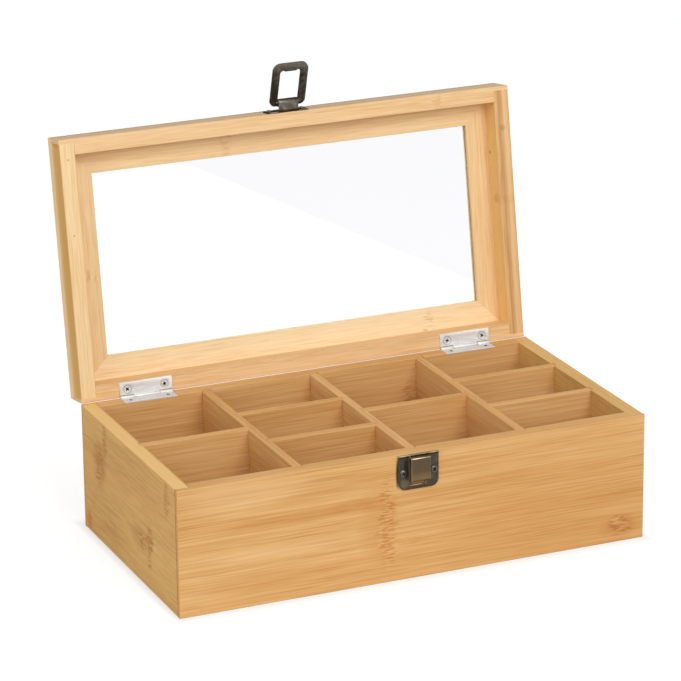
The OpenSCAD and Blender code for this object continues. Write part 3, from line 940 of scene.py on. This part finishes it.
# Joints, stains, painted shade and painted light of the boards, by node.
BOX_MARKS = {
    "front_panel": (
        Mark(-94, 12, 60, 5, RUST, 0.4),
        Mark(-45, 13, 26, 6, RUST, 0.42, 0.15),
        Mark(-28, 0, 17, 36, RUST, 0.22),
        Mark(-21.5, -3, 10, 40, RUST, 0.78, 0.85),
        Mark(-5, -17, 12, 5, RUST, 0.2, 0.3),
        Mark(105, -6, 130, 80, RUST, 0.2),
        Mark(-122, 34, 60, 14, PALE_BAND, 0.35),
        Mark(-105, -9, 56, 7, PALE_BAND, 0.3),
        Mark(-110, -27, 60, 10, RUST, 0.24),
        Mark(150, -33, 20, 11, RUST, 0.3),
        Mark(151, -32, 13, 9, BROWN, 0.75, 0.7),
        # Painted shade on the wood round the catch plate, seen through its slot.
        Mark(0.6, 31, 15, 13, UMBER, 0.7, ragged=0),
        # Painted shadow along the left edge of the catch plate.
        Mark(-14.1, 31, 1.5, 13.5, SHADOW_LINE, 0.95, ragged=0),
    ),
    "left_panel": (
        Mark(60, -8, 80, 70, KNOT, 0.13),
        Mark(44.5, 34, 5, 17, KNOT, 0.7, 0.6, -5, 3.0, 1),
        Mark(56, 14, 17, 18, KNOT, 0.42, ragged=1.6),
        Mark(56, 9, 9, 20, KNOT, 0.8, 0.75, ragged=1),
        Mark(-70, 31, 6, 17, KNOT, 0.75, 0.65, ragged=1),
        Mark(-38, -9, 8, 12, KNOT, 0.95, 0.6, ragged=1),
        Mark(-36, -23, 5, 9, KNOT, 0.75, 0.7, ragged=1),
        Mark(-21, -14, 24, 12, KNOT, 0.36, ragged=1.8),
        Mark(-27, -13, 12, 9, KNOT, 0.5, 0.8, ragged=1),
        Mark(80, -36, 7, 8, RUST, 0.7),
        # Painted light on the top face of the wall.
        Mark(0, 44.6, 600, 1.4, TOP_LIGHT, 0.72, ragged=0),
        Mark(0, 44.6, 600, 1.4, RUST, 0.5, 0.0, 4.8, 1.5, 0.2),
        # Dark line of the corner joint on the outer face: glue line and painted shade in the seam.
        Mark(-86.7, 0, 0.9, 150, UMBER, 0.75, 0.0, -5, 1.4, 0),
    ),
    "right_panel": (
        Mark(-30, 14, 6, 16, BROWN, 0.5, 0.6),
        Mark(52, -20, 5, 12, BROWN, 0.45, 0.5),
        # Painted light on the top face of the wall.
        Mark(0, 44.6, 600, 1.4, TOP_LIGHT, 0.25, ragged=0),
    ),
    "back_panel": (
        Mark(72, 3, 7, 34, BROWN, 0.45, 0.9),
        Mark(-98, -16, 9, 12, UMBER, 0.4, 0.5),
        Mark(-20, 20, 40, 5, RUST, 0.2),
    ),
    "bottom_panel": (
        Mark(-60, 20, 6, 40, BROWN, 0.4, 0.8),
        Mark(84, -35, 6, 30, BROWN, 0.4, 0.8),
    ),
    "left_long_divider": (Mark(30, 10, 4, 18, BROWN, 0.4, 0.6),),
    "middle_long_divider": (Mark(-48, 20, 4, 14, BROWN, 0.4, 0.6),),
    "right_long_divider": (Mark(12, 26, 5, 12, BROWN, 0.4, 0.6),),
}


def dress_board(turned: Matrix, finish: BambooFinish) -> None:
    """Gives a board its own bamboo.

    Args:
        turned: Turn from the closed lid or the box to how the board lies at rest.
        finish: Finish of the board, under its node's name.
    """
    low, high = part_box(finish.name)
    dress(finish.name, finish.material(turned, (low + high) / 2))


@dataclass
class BoxCarcass:
    """Walls, bottom and dividers of the box.

    Attributes:
        first_seed: Seed of the first board's pattern.
    """

    first_seed: int = 3

    def dress(self) -> None:
        """Gives the boards their bamboo."""
        boards = ((node, *kind) for *kind, nodes in BOX_BOARDS for node in nodes)
        for seed, (node, grain, tone, length) in enumerate(boards, self.first_seed):
            marks = BOX_MARKS.get(node, ())
            dress_board(CLOSED, BambooFinish(node, grain, tone, seed, marks, length=length))


# The nodes of the boards, how they lie, and their tone.
LID_BOARDS = (
    ("lid_front_rim", Grain.WALL_ALONG_X, Tone.PALE),
    ("lid_back_rim", Grain.WALL_ALONG_X, Tone.PALE),
    ("lid_left_rim", Grain.WALL_ALONG_Y, Tone.CREAM),
    ("lid_right_rim", Grain.WALL_ALONG_Y, Tone.SHADED),
    ("window_frame_front", Grain.FLAT_ALONG_X, Tone.CREAM),
    # Painted light: this board gets a paler tone because the box shades it.
    ("window_frame_back", Grain.FLAT_ALONG_X, Tone.LIGHT),
    ("window_frame_left", Grain.FLAT_ALONG_Y, Tone.CREAM),
    ("window_frame_right", Grain.FLAT_ALONG_Y, Tone.CREAM),
)
# Joints, stains, painted shade and painted light of the boards, by node.
LID_MARKS = {
    "lid_right_rim": (
        # Painted light on the rim's inner face.
        Mark(0, 0, 300, 30, INNER_RIM_LIGHT, 0.75, 0.0, -6.2, 1.4, 0),
        Mark(0, -8, 300, 4, ROSE, 0.5, 0.0, -2.2, 1.2, 0.2),
        Mark(0, -8, 300, 4, PALE_BAND, 0.5, 0.0, 2.2, 2.6, 0.2),
        Mark(-10, -3, 5, 9, RUST, 0.42, 0.6),
        Mark(-60.7, -8, 3, 1.6, UMBER, 0.5, 0.3, -0.4, 2.4),
        Mark(-42.6, 4.5, 1.6, 1.2, UMBER, 0.8, 0.0, -5.5, 2.0),
    ),
    "lid_left_rim": (
        Mark(0, -3.0, 300, 13.5, AMBER, 0.85, 0.0, -5.6, 1.0, 0),
        Mark(0, -7.8, 300, 1.6, MOSS, 0.3, 0.0, -5.5, 0.9, 0),
        Mark(-88, 0, 5, 9, RUST, 0.5, 0.0, -5.5, 2.0, 0),
        Mark(-76, -7.5, 1.0, 1.5, UMBER, 0.6, 0.0, 0.4, 0.9),
        Mark(-24.6, -7.5, 1.0, 1.5, UMBER, 0.6, 0.0, -0.1, 0.9),
    ),
    "lid_front_rim": (
        # Painted sheen greys the rim's outer face, which looks up when the lid is open.
        Mark(0, 0, 600, 30, GREY, 0.5, 0.0, 7.0, 2.2, 0),
        Mark(112, -8, 5, 6, RUST, 0.3, 0.8),
    ),
    "window_frame_left": (Mark(7.5, 0, 6, 17, RUST, 0.35, 0.9),),
    "window_frame_back": (Mark(100, 0, 6, 17, RUST, 0.35, 0.9),),
    "window_frame_front": (
        Mark(-42, 0, 6, 17, RUST, 0.35, 0.7),
        Mark(0, -13.8, 600, 1.4, GREY, 0.6, ragged=0),
    ),
}


@dataclass
class GlazedLid:
    """Rim, window frame and pane of the lid.

    Attributes:
        first_seed: Seed of the first board's pattern.
    """

    first_seed: int = 31

    def dress(self) -> None:
        """Gives the boards their bamboo and the pane its glass."""
        for seed, (node, grain, tone) in enumerate(LID_BOARDS, self.first_seed):
            marks = LID_MARKS.get(node, ())
            dress_board(OPENED, BambooFinish(node, grain, tone, seed, marks, zones=0.3, bands=0.35,
                                             lines=0.5, length=0.5))
        dress("window_pane", PaneFinish().material())


@dataclass
class HingePair:
    """Two butt hinges with their pins and screws.

    Attributes:
        middle_x: Distance of a hinge from the middle of the box, in mm.
        screw_spacing: Distance between the screws of a leaf, in mm.
        screw_y: Distance of the screws behind the middle of the box, in mm.
        half_gap: Half the gap between the leaves of a closed hinge, in mm.
        screw: Sizes of a screw.
    """

    middle_x: float = 120.0
    screw_spacing: float = 27.0
    screw_y: float = 84.4
    half_gap: float = 0.15
    screw: ScrewShape = ScrewShape(head=4.6, sink=1.1)

    def places(self, z: float) -> tuple[Triple, ...]:
        """Places of the screws on a leaf's outer face at height z."""
        half = self.screw_spacing / 2
        return tuple((side * self.middle_x + step * half, self.screw_y, z)
                     for side in (-1, 1) for step in (-1, 1))

    def build(self, dark: Material) -> None:
        """Makes the leaves, pins and screws.

        Args:
            dark: Near-black material that paints shade inside the cross recesses.
        """
        face, edge = STEEL.material(), STEEL_EDGE.material()
        parts = (("box_leaf", Body.BOX, 0.15), ("lid_leaf", Body.LID, 0.15), ("pin", Body.BOX, 0.25))
        for side in ("left", "right"):
            for part, body, width in parts:
                eased = Eased(f"{side}_{part}", f"{side}_hinge_{part}", width)
                eased.build(body, Slot.STEEL, face, edge)
        leaves = ((Body.BOX, PIN_Z - self.half_gap, 0, CLOSED, 4),
                  (Body.LID, PIN_Z + self.half_gap, 180, OPENED, 9))
        for body, z, lean, turned, seed in leaves:
            screws = ScrewSet(f"{body.value}_leaf_screws", f"{body.value}_hinge_screws", self.screw,
                              self.places(z), lean, turned, seed)
            screws.build(body, Slot.STEEL, edge, dark)


@dataclass
class ToggleLatch:
    """Catch plate on the box, plate with a curl on the lid, and the bail between them.

    Attributes:
        middle_x: Place of the latch to the right of the middle of the box, in mm.
        front_y: Front face of the box and the lid, in mm.
        catch_spacing: Distance between the catch screws, in mm.
        catch_z: Height of the catch screws, in mm.
        catch_sheet: Thickness of the catch plate, in mm.
        lid_spacing: Distance between the lid screws, in mm.
        lid_z: Height of the lid screws on the closed lid, in mm.
        lid_sheet: Thickness of the lid plate, in mm.
    """

    middle_x: float = 0.6
    front_y: float = -90.0
    catch_spacing: float = 22.0
    catch_z: float = 74.8
    catch_sheet: float = 1.2
    lid_spacing: float = 23.8
    lid_z: float = 96.0
    lid_sheet: float = 1.0

    def pair(self, spacing: float, sheet: float, z: float) -> tuple[Triple, ...]:
        """Places of two screws on a plate."""
        return tuple((self.middle_x + side * spacing / 2, self.front_y - sheet, z) for side in (-1, 1))

    def build(self, dark: Material) -> None:
        """Makes the plates, the bail and the screws.

        Args:
            dark: Near-black material that paints shade inside the cross recesses.
        """
        parts = (
            (Eased("catch", "catch_plate", 0.35), Body.BOX, GUNMETAL, GUNMETAL_EDGE),
            (Eased("lid_latch_plate", "latch_plate", 0.15), Body.LID, BRONZED, BRONZED_EDGE),
            (Eased("bail", "latch_bail", 0.6, 4), Body.BAIL, BLACKENED, BLACKENED_EDGE),
        )
        for eased, body, face, edge in parts:
            eased.build(body, Slot.BRONZE, face.material(), edge.material())
        head = HEAD.material()
        places = self.pair(self.catch_spacing, self.catch_sheet, self.catch_z)
        screw = ScrewShape(head=5.4, length=8.0, rise=1.1, cross=3.5, slit=1.0)
        catch = ScrewSet("catch_plate_screws", "catch_screws", screw, places, 90, CLOSED, 2)
        places = self.pair(self.lid_spacing, self.lid_sheet, self.lid_z)
        screw = ScrewShape(head=5.0, length=8.0, rise=1.1)
        plate = ScrewSet("lid_plate_screws", "latch_screws", screw, places, 90, OPENED, 5)
        catch.build(Body.BOX, Slot.BRONZE, head, dark)
        plate.build(Body.LID, Slot.BRONZE, head, dark)


@dataclass
class Studio:
    """Floor, light and camera.

    Attributes:
        camera_place: Place of the camera, in mm.
        azimuth: Direction of view about the vertical, in degrees.
        elevation: Height of the camera over the object, in degrees.
        roll: Turn of the camera about its axis, in degrees.
        lens: Focal length for a sensor 36 mm wide, in mm.
        floor_size: Side of the floor, in m.
        foot: Half the width and depth of the box on the floor, in m.
        shade: Darkness of the shade on the floor at the foot of the box.
        shade_reach: How far that shade reaches to the front and back, and twice how far it
            reaches to the sides, in m.
        matt: How white the floor is for the light that it sends on.
        seen_matt: How white its lit part is where it is seen.
        glow: Strength of its own light where it is seen.
        sky: Strength of the light from all round.
    """

    camera_place: Triple = (-915.807, -2091.156, 913.378)
    azimuth: float = -23.315
    elevation: float = 18.783
    roll: float = -0.629
    lens: float = 190.818
    floor_size: float = 24.0
    foot: tuple[float, float] = (0.1675, 0.09)
    shade: float = 0.24
    shade_reach: float = 0.015
    matt: float = 0.8
    seen_matt: float = 0.42
    glow: float = 0.735
    sky: float = 0.52

    def build_camera(self) -> None:
        """Makes the scene's camera."""
        az, el = math.radians(self.azimuth), math.radians(self.elevation)
        forward = Vector((-math.sin(az) * math.cos(el), math.cos(az) * math.cos(el), -math.sin(el)))
        right = Vector((math.cos(az), math.sin(az), 0))
        up = right.cross(forward)
        level = Matrix((right, up, -forward)).transposed()
        turned = level @ Matrix.Rotation(math.radians(self.roll), 3, "Z")
        camera = bpy.data.cameras.new("camera")
        camera.lens = self.lens
        camera.sensor_width = 36
        camera.clip_start = 0.1
        camera.clip_end = 100
        view = new_object("camera", camera)
        view.matrix_world = Matrix.Translation(Vector(self.camera_place) * MM) @ turned.to_4x4()
        bpy.context.scene.camera = view

    def seen(self, tree: Tree) -> Value:
        """1 for rays that show something to the camera, straight, mirrored or through glass."""
        rays = tree.add("ShaderNodeLightPath").socket.node.outputs
        seen, mirrored, through = (
            Value(tree, rays[name]) for name in ("Is Camera Ray", "Is Glossy Ray", "Is Transmission Ray")
        )
        return seen.apply("MAXIMUM", mirrored).apply("MAXIMUM", through)

    def build_floor(self) -> None:
        """Lays the floor, white where nothing shades it."""
        half = self.floor_size / 2
        mesh = bpy.data.meshes.new("floor")
        mesh.from_pydata([(-half, -half, 0), (half, -half, 0), (half, half, 0), (-half, half, 0)], [],
                         [(0, 1, 2, 3)])
        material, tree = new_material("white_floor")
        seen = self.seen(tree)
        x, y, _ = (axis.apply("ABSOLUTE") for axis in tree.axes(tree.coordinates()[0]))
        half_width, half_depth = self.foot
        off = (x * 2 - 2 * half_width).apply("MAXIMUM", y - half_depth)
        shade = off.ramp(0.0, self.shade_reach, self.shade, 0.0)
        glow_colour = tree.mix(shade, (1.0, 1.0, 1.0), (0.0, 0.0, 0.0))
        dull = tree.mix(seen, (self.matt,) * 3, (self.seen_matt,) * 3)
        matt = tree.add("ShaderNodeBsdfDiffuse", {"Color": dull})
        glow = tree.add("ShaderNodeEmission", {"Color": glow_colour, "Strength": seen * self.glow})
        show(tree, tree.add("ShaderNodeAddShader", {0: matt, 1: glow}))
        mesh.materials.append(material)
        new_object("floor", mesh)

    def build_lamp(self, name: str, place: Triple, aim: Triple, size: float, level: float) -> None:
        """Hangs a soft square lamp.

        Args:
            name: Name of the lamp.
            place: Place of the lamp, in m.
            aim: Point that it faces, in m.
            size: Its side, in m.
            level: How bright a white surface that faces it at aim looks, by this lamp alone.
        """
        way = Vector(aim) - Vector(place)
        lamp = bpy.data.lights.new(name, "AREA")
        lamp.size = size
        lamp.energy = level * math.pi ** 2 * way.length_squared
        turned = way.to_track_quat("-Z", "Y").to_matrix().to_4x4()
        new_object(name, lamp).matrix_world = Matrix.Translation(Vector(place)) @ turned

    def build_world(self) -> None:
        """Makes the even light from all round, white where it is seen."""
        world = bpy.data.worlds.new("studio")
        world.use_nodes = True
        world.node_tree.nodes.clear()
        tree = Tree(world.node_tree)
        strength = self.seen(tree).ramp(0, 1, self.sky, 1.0, "LINEAR")
        sky = tree.add("ShaderNodeBackground", {"Color": (1.0, 1.0, 1.0), "Strength": strength})
        tree.add("ShaderNodeOutputWorld", {"Surface": sky})
        bpy.context.scene.world = world

    def build(self) -> None:
        """Sets up the whole studio."""
        bpy.context.scene.view_settings.view_transform = "Standard"
        self.build_camera()
        self.build_floor()
        self.build_world()
        self.build_lamp("key", (0.3, -2.6, 1.9), (0, 0, 0.1), 1.6, 0.47)
        self.build_lamp("fill", (-2.6, -0.9, 1.2), (0, 0, 0.1), 1.6, 0.22)


def main() -> None:
    """Builds and dresses the tea box in order."""
    logging.basicConfig(level=logging.INFO, format="%(name)s: %(message)s")
    Studio().build()
    BoxCarcass().dress()
    GlazedLid().dress()
    dark = RECESS_SHADE.material()
    HingePair().build(dark)
    ToggleLatch().build(dark)


if __name__ == "__main__":
    main()
